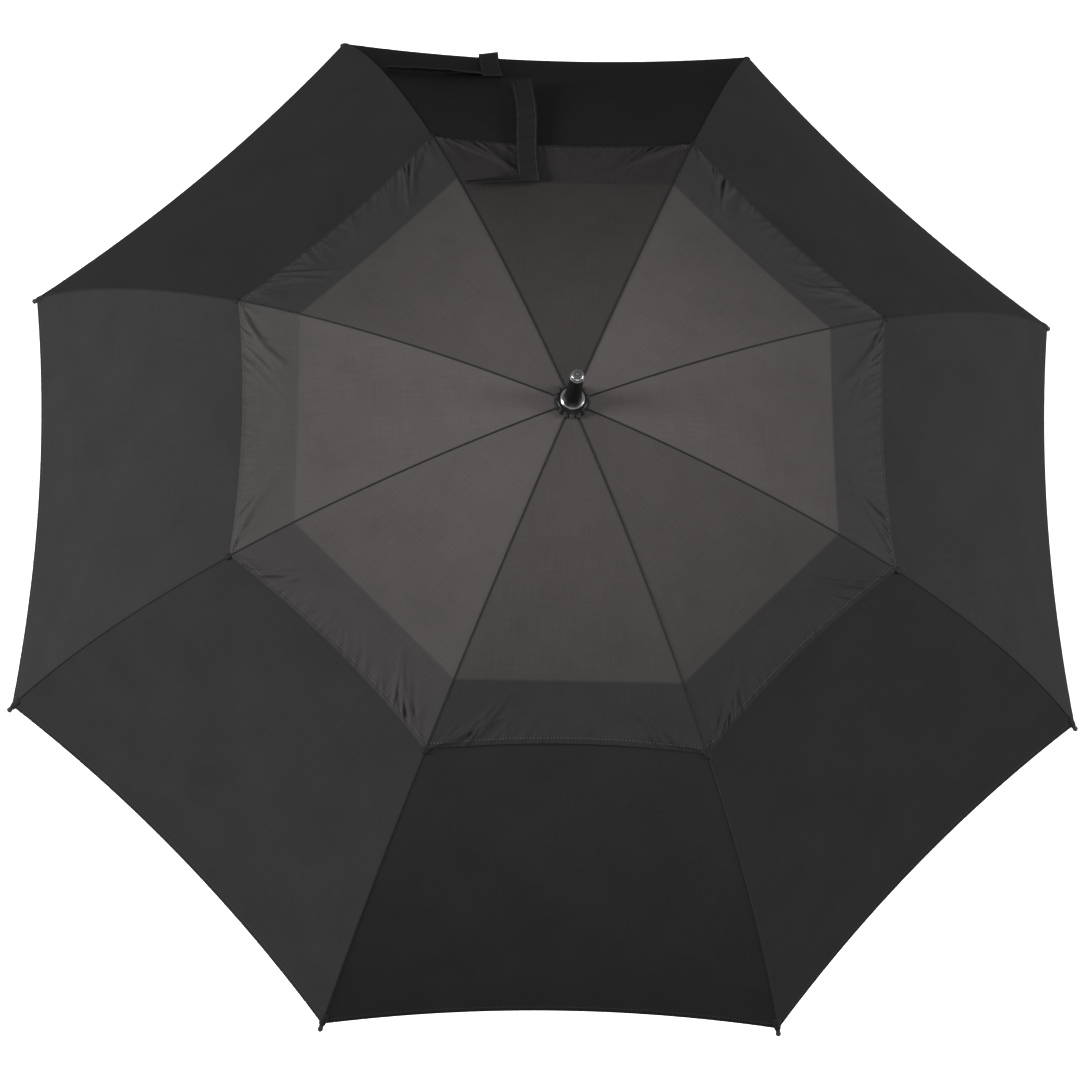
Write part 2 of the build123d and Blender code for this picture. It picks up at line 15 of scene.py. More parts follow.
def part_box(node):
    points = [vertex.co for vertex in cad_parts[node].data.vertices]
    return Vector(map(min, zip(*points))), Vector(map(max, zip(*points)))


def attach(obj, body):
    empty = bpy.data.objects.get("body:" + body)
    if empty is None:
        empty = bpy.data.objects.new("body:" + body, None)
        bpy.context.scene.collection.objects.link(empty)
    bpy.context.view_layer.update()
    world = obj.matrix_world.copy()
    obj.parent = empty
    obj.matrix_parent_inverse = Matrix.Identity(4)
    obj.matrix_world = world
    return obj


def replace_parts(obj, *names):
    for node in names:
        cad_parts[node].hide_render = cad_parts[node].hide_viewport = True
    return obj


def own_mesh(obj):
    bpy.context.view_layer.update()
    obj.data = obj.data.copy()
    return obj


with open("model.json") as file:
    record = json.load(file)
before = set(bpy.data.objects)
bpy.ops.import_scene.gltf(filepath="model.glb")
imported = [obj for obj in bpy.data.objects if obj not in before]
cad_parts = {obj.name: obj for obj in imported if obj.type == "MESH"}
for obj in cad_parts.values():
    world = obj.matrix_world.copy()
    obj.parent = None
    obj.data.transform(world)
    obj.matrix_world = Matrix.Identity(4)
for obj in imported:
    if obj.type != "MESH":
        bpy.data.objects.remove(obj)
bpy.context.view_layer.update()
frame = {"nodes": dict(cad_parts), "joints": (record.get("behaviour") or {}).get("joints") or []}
joints = {joint["name"]: joint for joint in frame["joints"]}

# %% [markdown]
# ## The rib's curve
# A glass-fibre rib is straight until the canopy bends it.  Its curve is two arcs that meet at the joint clip.
# The pivots come from the frame's joints, and the three slopes below say how much the rod falls at its ends
# and at the clip.  Everything made of cloth is placed by a length along this curve and a lift above the rod.

# %% Rib curve
RIBS = 8
GORE = 2 * math.pi / RIBS
HALF = GORE / 2
NOTCH_SLOPE, CLIP_SLOPE, TIP_SLOPE = (math.radians(a) for a in (1.5, 20.5, 56.5))
OUTER_LENGTH = 0.440
notch = joints["fold"]["pos_m"]
knee = joints["rib_1_flex"]["pos_m"]
inner_bend = (knee[0] - notch[0]) / (math.sin(CLIP_SLOPE) - math.sin(NOTCH_SLOPE))
outer_bend = OUTER_LENGTH / (TIP_SLOPE - CLIP_SLOPE)
KNEE_LENGTH = inner_bend * (CLIP_SLOPE - NOTCH_SLOPE)
TIP_LENGTH = KNEE_LENGTH + OUTER_LENGTH


def slope_at(s):
    """Fall of the rib at length s from the notch pivot."""
    inner, outer = NOTCH_SLOPE + s / inner_bend, CLIP_SLOPE + (s - KNEE_LENGTH) / outer_bend
    return np.where(s < KNEE_LENGTH, inner, outer)


def rib_curve(s, lift):
    """Radius and height of the rib's axis at length s, lifted along its normal."""
    s = np.asarray(s, float)
    a = slope_at(s)
    inner = s < KNEE_LENGTH
    r = np.where(inner, notch[0] + inner_bend * (np.sin(a) - math.sin(NOTCH_SLOPE)),
                 knee[0] + outer_bend * (np.sin(a) - math.sin(CLIP_SLOPE)))
    z = np.where(inner, notch[2] - inner_bend * (math.cos(NOTCH_SLOPE) - np.cos(a)),
                 knee[2] - outer_bend * (math.cos(CLIP_SLOPE) - np.cos(a)))
    return r + lift * np.sin(a), z + lift * np.cos(a)


def length_at(radius):
    """Length along the rib at which its axis reaches a radius."""
    lengths = np.linspace(-0.01, TIP_LENGTH, 4000)
    return float(np.interp(radius, rib_curve(lengths, 0)[0], lengths))


print("rib", round(TIP_LENGTH, 4), "m, clip at", round(KNEE_LENGTH, 4), "m")

# %% [markdown]
# ## The camera, the light and the floor
# The umbrella is seen from high above, almost along its shaft, with the camera turned a little about its own
# axis.  Three soft lamps and a pale world give the flat, shadowless light of a catalogue.

# %% Camera
CAMERA_ELEVATION, CAMERA_AZIMUTH, CAMERA_ROLL = (math.radians(a) for a in (69.55, 11.09, 11.96))
CAMERA_DISTANCE, CAMERA_RIGHT, CAMERA_UP = 3.4252, -0.00944, -0.03157
FOCAL_LENGTH = 97.55
tips_height = float(rib_curve(TIP_LENGTH, 0)[1])
back = Vector((0, -math.cos(CAMERA_ELEVATION), math.sin(CAMERA_ELEVATION)))
right = Vector((1, 0, 0))
up = back.cross(right)
rolled_right = right * math.cos(CAMERA_ROLL) + up * math.sin(CAMERA_ROLL)
rolled_up = up * math.cos(CAMERA_ROLL) - right * math.sin(CAMERA_ROLL)
place = back * CAMERA_DISTANCE + rolled_right * CAMERA_RIGHT + rolled_up * CAMERA_UP
camera_data = bpy.data.cameras.new("camera")
camera_data.lens = FOCAL_LENGTH
camera_data.sensor_width = 36
camera = bpy.data.objects.new("camera", camera_data)
bpy.context.scene.collection.objects.link(camera)
axes = Matrix((rolled_right, rolled_up, back)).transposed().to_4x4()
camera.matrix_world = (Matrix.Translation((0, 0, tips_height)) @ Matrix.Rotation(CAMERA_AZIMUTH, 4, "Z")
                       @ Matrix.Translation(place) @ axes)
bpy.context.scene.camera = camera
print("camera at", [round(c, 3) for c in camera.matrix_world.translation])

# %% Lamps and floor
def lamp(name, place, target, size, power):
    """Large square soft lamp that looks at a point."""
    data = bpy.data.lights.new(name, "AREA")
    data.size = size
    data.energy = power
    made = bpy.data.objects.new(name, data)
    bpy.context.scene.collection.objects.link(made)
    made.location = place
    made.rotation_euler = (Vector(target) - Vector(place)).to_track_quat("-Z", "Y").to_euler()


def around(azimuth, elevation, distance=3.6, height=0.75):
    """Place of a lamp round the canopy, given in degrees."""
    turn, rise = math.radians(azimuth), math.radians(elevation)
    return (distance * math.cos(rise) * math.cos(turn), distance * math.cos(rise) * math.sin(turn),
            height + distance * math.sin(rise))


lamp("key_lamp", around(207, 27), (0, 0, 0.8), 1.0, 212)
lamp("fill_lamp", around(18, 25), (0, 0, 0.8), 1.0, 164)
lamp("front_lamp", around(290, 50), (0, 0, 0.8), 2.0, 36)
world = bpy.data.worlds.new("studio")
world.use_nodes = True
world.node_tree.nodes["Background"].inputs["Color"].default_value = (1, 1, 1, 1)
world.node_tree.nodes["Background"].inputs["Strength"].default_value = 0.38
bpy.context.scene.world = world
bpy.context.scene.view_settings.view_transform = "Standard"

# %% [markdown]
# ## Shader arithmetic
# A procedural finish is mostly arithmetic on coordinates.  Written as nodes it is long, so a small class
# wraps a socket and turns + - and * into Math nodes.  Any other node comes from its one method, `node`.

# %% The Wire class
class Wire:
    """A shader socket that can be used in sums, and the way to add any node beside it."""

    def __init__(self, tree, socket=None):
        self.tree, self.socket = tree, socket

    def node(self, kind, settings=None, inputs=None, out=0):
        """Add a node: settings first, then values or wires for its sockets; give its output as a wire."""
        made = self.tree.nodes.new("ShaderNode" + kind)
        for key, value in (settings or {}).items():
            if key == "stops":
                ramp = made.color_ramp.elements
                while len(ramp) < len(value):
                    ramp.new(0.5)
                for element, (position, colour) in zip(ramp, value):
                    element.position = position
                    element.color = (*colour, 1) if hasattr(colour, "__len__") else (colour,) * 3 + (1,)
            else:
                setattr(made, key, value)
        for key, value in (inputs or {}).items():
            if isinstance(value, Wire):
                self.tree.links.new(value.socket, made.inputs[key])
            else:
                made.inputs[key].default_value = value
        return Wire(self.tree, made.outputs[out])

    def maths(self, operation, *values):
        return self.node("Math", {"operation": operation}, dict(enumerate(values)))

    def __add__(self, other): return self.maths("ADD", self, other)
    def __radd__(self, other): return self.maths("ADD", other, self)
    def __sub__(self, other): return self.maths("SUBTRACT", self, other)
    def __rsub__(self, other): return self.maths("SUBTRACT", other, self)
    def __mul__(self, other): return self.maths("MULTIPLY", self, other)
    def __rmul__(self, other): return self.maths("MULTIPLY", other, self)

    def step(self, low, high):
        """0 below low, 1 above high, and smooth between."""
        return self.node("MapRange", {"interpolation_type": "SMOOTHSTEP"},
                         {"Value": self, "From Min": low, "From Max": high})


def finish(name, **fixed):
    """New material: the shader's sockets take plain values here, and varying ones through set_wire."""
    material = bpy.data.materials.new(name)
    material.use_nodes = True
    shader = material.node_tree.nodes["Principled BSDF"]
    for key, value in fixed.items():
        socket = shader.inputs[key.replace("_", " ")]
        socket.default_value = (*value, 1) if hasattr(value, "__len__") else value
    return material, shader, Wire(material.node_tree)


def set_wire(shader, socket, wire):
    """Feed one varying socket of a shader."""
    wire.tree.links.new(wire.socket, shader.inputs[socket])


def mix(wire, factor, first, second):
    """Colour mixed by a wire."""
    inputs = {"Factor": factor, 6: first if isinstance(first, Wire) else (*first, 1),
              7: second if isinstance(second, Wire) else (*second, 1)}
    return wire.node("Mix", {"data_type": "RGBA"}, inputs, out=2)


print("finishes ready")

# %% [markdown]
# ## Canopy cloth
# The canopy is pongee, a light polyester in plain weave.  The threads are finer than a render shows, so the
# finish draws what the eye does see: long faint slubs in both thread directions and a soft unevenness.  Where
# the cloth is single it is drawn a warm grey, painted daylight as if it came through, less so away from the
# crown; where it lies double it stays darker, though a little painted daylight is in it too.  Three numbers
# ride
# on the mesh: edge is the distance from the free edge, then a tone for each gore that is partly painted
# light, and lap how strongly the double part shows.

# %% Cloth finish
# the cloth's own dark grey, and two paler copies of it for the upper canopy: painted daylight through the
# cloth, a little where it lies double and most where it is single
CLOTH_DARK = (0.0178, 0.0174, 0.0178)
CLOTH_DOUBLE_PAINTED_LIGHT = (0.0262, 0.0250, 0.0250)
CLOTH_SINGLE_PAINTED_LIGHT = (0.0535, 0.0495, 0.0480)
STRAP_COLOUR = (0.0135, 0.0127, 0.0130)
THREAD = (0.085, 0.082, 0.084)
STITCH_PITCH = 0.0036
HEM_STITCH = 0.0065
LAP_BLUR = 0.0022
GLOW_FADE = 0.42


def slubs(base, across, along, seed):
    """Uneven threads: noise drawn out along each thread direction, from 0 to 1."""
    first = base.node("CombineXYZ", None, {"X": across * 900, "Y": along * 26, "Z": seed})
    second = base.node("CombineXYZ", None, {"X": across * 26, "Y": along * 900, "Z": seed + 5})
    warp = base.node("TexNoise", None, {"Vector": first, "Scale": 1.0, "Detail": 2.0})
    weft = base.node("TexNoise", None, {"Vector": second, "Scale": 1.0, "Detail": 2.0})
    return (warp + weft) * 0.5


def cloth_finish(name, dark, single_painted_light, painted_light_end, pitch=STITCH_PITCH, row=HEM_STITCH):
    """Pongee drawn in the paler colour where the cloth is single, out to the given end, as painted daylight
    that fades away from the crown.
    """
    material, shader, base = finish(name, Specular_IOR_Level=0.02)
    weave = base.node("UVMap", {"uv_map": "weave"})
    across = base.node("SeparateXYZ", None, {"Vector": weave}, out=0)
    along = base.node("SeparateXYZ", None, {"Vector": weave}, out=1)
    edge = base.node("Attribute", {"attribute_name": "edge"}, out="Fac")
    # tone of each gore: partly the cloth's own, partly painted light that the lamps don't give
    cut = base.node("Attribute", {"attribute_name": "cut"}, out="Fac")
    threads = slubs(base, across, along, 1.0)
    cloud = base.node("TexNoise", None, {"Vector": weave, "Scale": 14.0, "Detail": 3.0})
    # painted daylight: where the cloth is single it takes the paler colour, fading away from the crown; where
    # lap is below 1, part of it is painted over the double part too
    lap = base.node("Attribute", {"attribute_name": "lap"}, out="Fac")
    single = 1 - along.step(painted_light_end - LAP_BLUR, painted_light_end + LAP_BLUR) * lap
    glow = 1 - along.step(0.08, 0.33) * GLOW_FADE
    colour = mix(base, single * glow, dark, single_painted_light)
    beat = base.maths("SINE", across * (2 * math.pi / pitch))
    line = 1 - base.maths("ABSOLUTE", edge - row).step(0.0003, 0.0008)
    stitches = line * beat.step(-0.2, 0.3)
    fold = 1 - edge.step(row + 0.001, row + 0.002)
    shade = (threads * 0.55 + cloud * 0.3 + 0.57) * cut * (1 - fold * 0.14)
    colour = base.node("Mix", {"data_type": "RGBA", "blend_type": "MULTIPLY"},
                       {"Factor": 1.0, 6: colour,
                        7: base.node("CombineXYZ", None, {"X": shade, "Y": shade, "Z": shade})}, out=2)
    set_wire(shader, "Base Color", mix(base, stitches * 0.4, colour, THREAD))
    set_wire(shader, "Roughness", threads * 0.16 + cloud * 0.10 + 0.62)
    relief = threads * 0.55 + cloud * 0.2 - stitches * 0.9 + fold * 0.7
    bump = base.node("Bump", None, {"Strength": 0.25, "Distance": 0.0007, "Height": relief})
    set_wire(shader, "Normal", bump)
    return material


OVERLAP_RADIUS = 0.314
VENT_RADIUS = 0.387
overlap_start = length_at(OVERLAP_RADIUS)
# the upper canopy carries the painted daylight; the lower canopy and the straps stay the cloth's dark grey
upper_cloth = cloth_finish("pongee_upper", CLOTH_DOUBLE_PAINTED_LIGHT, CLOTH_SINGLE_PAINTED_LIGHT, overlap_start)
lower_cloth = cloth_finish("pongee_lower", CLOTH_DARK, CLOTH_SINGLE_PAINTED_LIGHT, 0.0)
strap_cloth = cloth_finish("strap_cloth", STRAP_COLOUR, CLOTH_SINGLE_PAINTED_LIGHT, -1.0, pitch=0.003, row=0.0022)
print("cloth finishes, double from length", round(overlap_start, 4))

# %% [markdown]
# ## One half gore
# A gore is the three-cornered cloth between two ribs.  Pulled tight it is almost a straight sheet from rib to
# rib, but it dips a little in the middle, and its free edge curves in.  Each gore is built in two halves
# that meet in the middle, because each half belongs to its own rib and folds with it.  A half is a grid
# of points with a thin back, so it is a closed mesh.

# %% Gore surface
CLOTH_THICKNESS = 0.00035
SAG = 0.012
SAG_RADIUS = 0.65


def directions(turn):
    """Outward and sideways directions at a turn about the shaft."""
    return (np.array((math.cos(turn), math.sin(turn), 0)), np.array((-math.sin(turn), math.cos(turn), 0)))


def on_gore(gore, s, y, lift, proud=0.0):
    """Points on a gore: s along the ribs, y sideways from its middle.

    lift is the height over the rods, and proud the relief over the cloth."""
    out, side = directions(GORE * gore + HALF)
    r, z = rib_curve(s, lift)
    half_width = r * math.sin(HALF)
    u = np.clip(np.abs(y) / half_width, 0, 1)
    dip = SAG * (r / SAG_RADIUS) ** 2 * (1 - u**2)
    fall = np.arctan(np.tan(slope_at(s)) / math.cos(HALF))
    away = proud - dip
    outward = r * math.cos(HALF) + away * np.sin(fall)
    return (outward[..., None] * out + np.asarray(y)[..., None] * side
            + (z + away * np.cos(fall))[..., None] * np.array((0, 0, 1.0)))


def grid_faces(rows, columns, offset=0):
    """Quads of a grid of points stored row by row."""
    i, j = np.meshgrid(np.arange(rows - 1), np.arange(columns - 1), indexing="ij")
    first = (i * columns + j + offset).ravel()
    return np.stack([first, first + 1, first + columns + 1, first + columns], 1)


def cloth_mesh(name, points, uv, edge, thickness=CLOTH_THICKNESS, cut=1.0, lap=1.0):
    """Closed thin mesh from a grid of points, with weave coordinates and the distance from the free edge."""
    rows, columns = points.shape[:2]
    along, across = np.gradient(points, axis=0), np.gradient(points, axis=1)
    normal = np.cross(along, across)
    normal /= np.linalg.norm(normal, axis=2, keepdims=True)
    normal *= np.sign(normal[rows // 2, columns // 2, 2])
    front, rear = points.reshape(-1, 3), (points - normal * thickness).reshape(-1, 3)
    count = rows * columns
    face = grid_faces(rows, columns)
    a, b, c = (front[face[0, k]] for k in range(3))
    ring = np.concatenate([np.arange(columns), (np.arange(1, rows) + 1) * columns - 1,
                           (rows - 1) * columns + np.arange(columns - 2, -1, -1),
                           np.arange(rows - 2, 0, -1) * columns])
    after = np.roll(ring, -1)
    wall = np.stack([after, ring, ring + count, after + count], 1)
    if np.cross(b - a, c - b) @ normal.reshape(-1, 3)[face[0, 0]] < 0:
        face, wall = face[:, ::-1], wall[:, ::-1]
    mesh = bpy.data.meshes.new(name)
    faces = np.concatenate([face, face[:, ::-1] + count, wall])
    mesh.from_pydata(np.concatenate([front, rear]), [], faces.tolist())
    mesh.shade_smooth()
    ends = np.zeros(2 * len(mesh.edges), np.int32)
    mesh.edges.foreach_get("vertices", ends)
    ends = np.sort(ends.reshape(-1, 2), axis=1)
    rim = np.stack([np.concatenate([ring, ring + count]), np.concatenate([after, after + count])], 1)
    rim = np.sort(rim, axis=1)
    sharp = mesh.attributes.new("sharp_edge", "BOOLEAN", "EDGE")
    sharp.data.foreach_set("value", np.isin(ends @ (2 * count, 1), rim @ (2 * count, 1)))
    layer = mesh.uv_layers.new(name="weave")
    vertex = np.zeros(len(mesh.loops), np.int32)
    mesh.loops.foreach_get("vertex_index", vertex)
    both = np.concatenate([uv.reshape(-1, 2), uv.reshape(-1, 2)])
    layer.data.foreach_set("uv", both[vertex].ravel())
    for word, values in (("edge", np.tile(edge.ravel(), 2)), ("cut", np.full(2 * count, cut)),
                         ("lap", np.full(2 * count, lap))):
        mesh.attributes.new(word, "FLOAT", "POINT").data.foreach_set("value", values)
    return mesh


def piece(name, mesh, body, material):
    """Object of a mesh that rides on a body and takes its finish."""
    made = bpy.data.objects.new(name, mesh)
    bpy.context.scene.collection.objects.link(made)
    mesh.materials.append(material)
    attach(made, body)
    return made


print("gore surface ready")

# %% [markdown]
# ## Puckers at the vent
# The upper canopy's free edge is hemmed and pulled between the ribs.  The hem gathers the cloth into small
# puckers, and each corner pulls long slanting folds into the sheet.  They are real relief in the mesh: each
# pucker is a soft ridge that starts at the hem and fades inwards, drawn from a seeded list.  Where ridges
# cross, the root of their summed squares is taken, so that a crossing isn't twice as high.

# %% Puckers
CORNER_FOLDS = 7
FOLD_SPACING = 0.0085
FOLD_START = 0.012
HEM_CALM = 0.006


def pucker_field(gore, reach, half_width, size, count):
    """Function of (sideways place, distance from the free edge) that gives the relief of one gore's hem."""
    random = np.random.default_rng(40 + gore)
    centres = np.linspace(-1, 1, count) * half_width * 0.95 + random.uniform(-0.004, 0.004, count)
    heights = size * random.uniform(0.15, 0.5, count) * (0.6 + 0.8 * np.abs(centres / half_width))
    widths = random.uniform(0.0020, 0.0038, count)
    lengths = reach * random.uniform(0.16, 0.5, count)
    slants = random.uniform(-0.6, 0.6, count) + centres / half_width * 0.9
    corners = []
    for side in (-1, 1):
        for k in range(CORNER_FOLDS):
            angle = math.radians(34 + 5.5 * k + random.uniform(-4, 4))
            corners.append((side, angle, FOLD_SPACING * (CORNER_FOLDS - 1 - k) * random.uniform(0.8, 1.1),
                            size * random.uniform(0.6, 1.05), random.uniform(0.0021, 0.0034),
                            reach * random.uniform(0.6, 1.05)))

    def field(y, d):
        relief = np.zeros_like(y)
        for centre, height, width, length, slant in zip(centres, heights, widths, lengths, slants):
            ridge = np.exp(-(((y - centre + slant * d) / (width * (1 + d / length))) ** 2))
            fade = np.exp(-((d / length) ** 2)) * (0.4 + 0.6 * np.clip(d / HEM_CALM, 0, 1))
            relief += (height * ridge * fade) ** 2
        for side, angle, start, height, width, length in corners:
            inwards = half_width - side * y - start
            along = inwards * math.sin(angle) + d * math.cos(angle)
            off = inwards * math.cos(angle) - d * math.sin(angle)
            spread = width * (0.6 + np.clip(along, 0, None) / length)
            window = np.clip(along / FOLD_START, 0, 1) * np.exp(-((along / length) ** 2))
            relief += (height * np.exp(-((off / spread) ** 2)) * window) ** 2
        return np.sqrt(relief)

    return field


print(CORNER_FOLDS, "folds fan out from each vent corner")

# %% [markdown]
# ## The two canopies
# The lower canopy runs from the overlap out to the hem.  The upper canopy covers the crown and hangs over the
# lower one, so that wind can escape between them.  The upper sheet is cut at the joint clip, where the rib
# is in two bodies.  Every half rides on a body of its own rib, so it turns with the rib when the umbrella
# folds.

# %% Canopy pieces
LOWER_LIFT = 0.0037
UPPER_LIFT = 0.0050
HEM_SETBACK = 0.015
HEM_HOLLOW = 0.006
VENT_HOLLOW = 0.007
NECK_LENGTH = length_at(0.0125)
RELIEF_START = 0.012


def gather(cloth, far_slope=TIP_SLOPE):
    """Give the cloth a mesh of its own.

    far_slope is the slope at the end of the rod away from the clip; it is not used."""
    chord_slope = (CLIP_SLOPE + far_slope) / 2
    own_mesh(cloth)


def half_gore(name, rib, side, start, end, hollow, lift, rows, columns, field=None, rise=0.0, hem=True,
              lap=1.0):
    """Mesh of one half gore between two lengths along the rib; the end is a free edge that curves in."""
    gore = rib if side > 0 else rib - 1
    u = np.linspace(0, 1, columns)[None, :]
    fall = math.atan(math.tan(float(slope_at(end))) / math.cos(HALF))
    free = end - hollow * (1 - u**2) / (math.cos(HALF) * math.cos(fall))
    t = np.linspace(0, 1, rows)[:, None]
    s = start + (free - start) * t
    r, _ = rib_curve(s, lift)
    y = -side * u * r * math.sin(HALF)
    to_edge = (free - s) if hem else np.ones_like(s)
    proud = rise * np.clip((s - start) / (end - start), 0, 1) ** 2 * (1 - u**2)
    if field is not None:
        proud = proud + field(y, free - s) * np.clip((s - start) / RELIEF_START, 0, 1)
    points = on_gore(gore, s, y, lift, proud)
    return cloth_mesh(name, points, np.stack([y, s], 2), to_edge, cut=GORE_TONE_AND_LIGHT[gore % RIBS], lap=lap)


def flat_size(mesh):
    """Width and length of the rectangle round a gore's flat outline, and the outline's own area."""
    areas = np.zeros(len(mesh.polygons))
    mesh.polygons.foreach_get("area", areas)
    uv = np.zeros(len(mesh.loops) * 2)
    mesh.uv_layers["weave"].data.foreach_get("uv", uv)
    size = np.ptp(uv.reshape(-1, 2), axis=0)
    return (float(size[0]), float(size[1])), float(areas.sum()) / 2


def declare(cloth):
    """Cloth area of a piece, worked out with its flat size; only the area is given back."""
    flat, area = flat_size(cloth.data)
    width, length = flat
    share = area / (width * length)
    if share > 1:
        width, length = width * math.sqrt(share) * 1.001, length * math.sqrt(share) * 1.001
    return area


# tone of each gore, tuned against measured greys: a part of it stands in for uneven light that the lamps
# don't give, so it isn't the colour of the cloth alone
GORE_TONE_AND_LIGHT = (1.06, 1.06, 0.58, 0.88, 1.10, 1.0, 0.78, 0.78)
# how strongly the double part shows on each gore, tuned the same way: below 1, part of the painted daylight
# is drawn over the double part, so it too stands in for uneven light
GORE_LAP_AND_LIGHT = (1.0, 1.0, 0.5, 1.0, 0.45, 0.8, 1.0, 1.0)
hem_length = TIP_LENGTH - HEM_SETBACK
vent_length = length_at(VENT_RADIUS)
vent_half = VENT_RADIUS * math.sin(HALF)
hem_half = float(rib_curve(hem_length, 0)[0]) * math.sin(HALF)
cloth_area = 0.0
for rib in range(RIBS):
    inner_body, outer_body = f"rib_inner_{rib + 1}", f"rib_outer_{rib + 1}"
    for side, word in ((1, "left"), (-1, "right")):
        gore = (rib if side > 0 else rib - 1) % RIBS
        vent_field = pucker_field(gore, 0.085, vent_half, 0.0038, 40)
        hem_field = pucker_field(gore + RIBS, 0.05, hem_half, 0.0006, 25)
        crown = half_gore(f"crown_{word}_{rib + 1}", rib, side, NECK_LENGTH, KNEE_LENGTH, 0.0, UPPER_LIFT,
                          46, 20, hem=False, lap=GORE_LAP_AND_LIGHT[gore])
        flap = half_gore(f"vent_flap_{word}_{rib + 1}", rib, side, KNEE_LENGTH, vent_length, VENT_HOLLOW,
                         UPPER_LIFT, 50, 116, vent_field, rise=0.002, lap=GORE_LAP_AND_LIGHT[gore])
        panel = half_gore(f"panel_{word}_{rib + 1}", rib, side, overlap_start, hem_length, HEM_HOLLOW,
                          LOWER_LIFT, 60, 40, hem_field)
        for mesh, body, material, node in (
            (crown, inner_body, upper_cloth, f"upper_canopy_{rib + 1}"),
            (flap, outer_body, upper_cloth, f"upper_canopy_{rib + 1}"),
            (panel, outer_body, lower_cloth, f"lower_canopy_{rib + 1}"),
        ):
            cloth = piece(mesh.name, mesh, body, material)
            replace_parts(cloth, node)
            gather(cloth, NOTCH_SLOPE if body == inner_body else TIP_SLOPE)
            cloth_area += declare(cloth)
print("cloth area", round(cloth_area, 3), "m2")

# %% [markdown]
# ## Seams, pockets and ties
# Two gores are joined along each rib by a flat-felled seam: both edges are folded into each other and sewn
# down, so the seam stands up as a thin dark ridge.  Each ridge is a small arched section swept along the
# rib.  The same sweep makes the cloth pocket that hides the start of each tip cap, and the thread tie that
# holds a corner of the vent flap to the lower canopy.

# %% Sweep along a rib
SEAM_WIDTH, SEAM_HEIGHT = 0.0019, 0.0008


def tube_faces(rings, points):
    """Quads of a tube of rings, and its two ends."""
    i, j = np.meshgrid(np.arange(rings - 1), np.arange(points), indexing="ij")
    first, after = (i * points + j).ravel(), (i * points + (j + 1) % points).ravel()
    sides = np.stack([first, after, after + points, first + points], 1).tolist()
    return sides + [list(range(points))[::-1], [(rings - 1) * points + k for k in range(points)]]


def along_rib(name, rib, lengths, section, body, material):
    """Closed piece swept over a rib: section(t) gives (sideways, lift) points for t from 0 to 1."""
    out, across = directions(GORE * rib)
    rings = []
    for t, s in zip(np.linspace(0, 1, len(lengths)), lengths):
        sideways, lift = section(t)
        r, z = rib_curve(np.full(len(lift), s), lift)
        rings.append(np.outer(r, out) + np.outer(sideways, across) + np.outer(z, (0, 0, 1)))
    mesh = bpy.data.meshes.new(name)
    mesh.from_pydata(np.concatenate(rings), [], tube_faces(len(rings), len(rings[0])))
    mesh.shade_smooth()
    return piece(name, mesh, body, material)


def arch(width, height, lift, ends=0.0):
    """Section with a rounded top, a flat foot sunk into the cloth, and tapered ends."""
    turn = np.linspace(0, math.pi, 9)

    def section(t):
        taper = 1 - ends * abs(2 * t - 1) ** 4
        sideways = np.concatenate([np.cos(turn), (-0.8, 0.8)]) * width / 2 * taper
        rise = np.concatenate([np.sin(turn) * height * taper, (-0.0003, -0.0003)])
        return sideways, lift + rise

    return section


def sleeve(width, height, lift):
    """Oval section that tapers towards its far end."""
    turn = np.linspace(0, 2 * math.pi, 24, endpoint=False)

    def section(t):
        shape = 1 - 0.30 * t**2 - 0.12 * (1 - t) ** 3
        return np.cos(turn) * width / 2 * shape, lift + np.sin(turn) * height / 2 * shape

    return section


def sewn_finish(name, colour, pitch):
    """Folded seam cloth with a row of thread."""
    material, shader, base = finish(name, Roughness=0.8, Specular_IOR_Level=0.15)
    place = base.node("TexCoord", None, None, out="Object")
    grain = base.node("TexNoise", None, {"Vector": place, "Scale": 900.0, "Detail": 2.0})
    wave = base.node("TexWave", {"wave_type": "BANDS", "bands_direction": "DIAGONAL"},
                     {"Vector": place, "Scale": 1 / pitch / 10, "Distortion": 2.0})
    set_wire(shader, "Base Color", mix(base, grain, [0.6 * c for c in colour], [1.4 * c for c in colour]))
    set_wire(shader, "Roughness", grain * 0.2 + 0.68)
    set_wire(shader, "Normal", base.node("Bump", None, {"Strength": 0.5, "Distance": 0.0004,
                                                       "Height": grain * 0.6 + wave * 0.4}))
    return material


seam_cloth = sewn_finish("seam_cloth", (0.0095, 0.0090, 0.0093), 0.003)
pocket_cloth = sewn_finish("pocket_cloth", (0.0085, 0.0082, 0.0085), 0.004)
tie_thread = sewn_finish("tie_thread", (0.006, 0.006, 0.006), 0.001)
flap_cover = arch(SEAM_WIDTH, SEAM_HEIGHT, UPPER_LIFT)
panel_cover = arch(SEAM_WIDTH, SEAM_HEIGHT, LOWER_LIFT)
for rib in range(RIBS):
    number, inner_body, outer_body = rib + 1, f"rib_inner_{rib + 1}", f"rib_outer_{rib + 1}"
    for name, start, end, section, body, material, steps in (
        ("crown_seam", NECK_LENGTH, KNEE_LENGTH, flap_cover, inner_body, seam_cloth, 40),
        ("flap_seam", KNEE_LENGTH, vent_length, flap_cover, outer_body, seam_cloth, 16),
        ("panel_seam", vent_length - 0.02, hem_length, panel_cover, outer_body, seam_cloth, 50),
        ("vent_tie", vent_length - 0.003, vent_length + 0.006, arch(0.0070, 0.0024, LOWER_LIFT, 0.5),
         outer_body, tie_thread, 10),
        ("tip_pocket", hem_length - 0.015, hem_length + 0.003, sleeve(0.0104, 0.0092, 0.0004),
         outer_body, pocket_cloth, 14),
    ):
        lengths = np.linspace(start, end, steps)
        along_rib(f"{name}_{number}", rib, lengths, section, body, material)
print("seams", 3 * RIBS, "ties and pockets", 2 * RIBS)

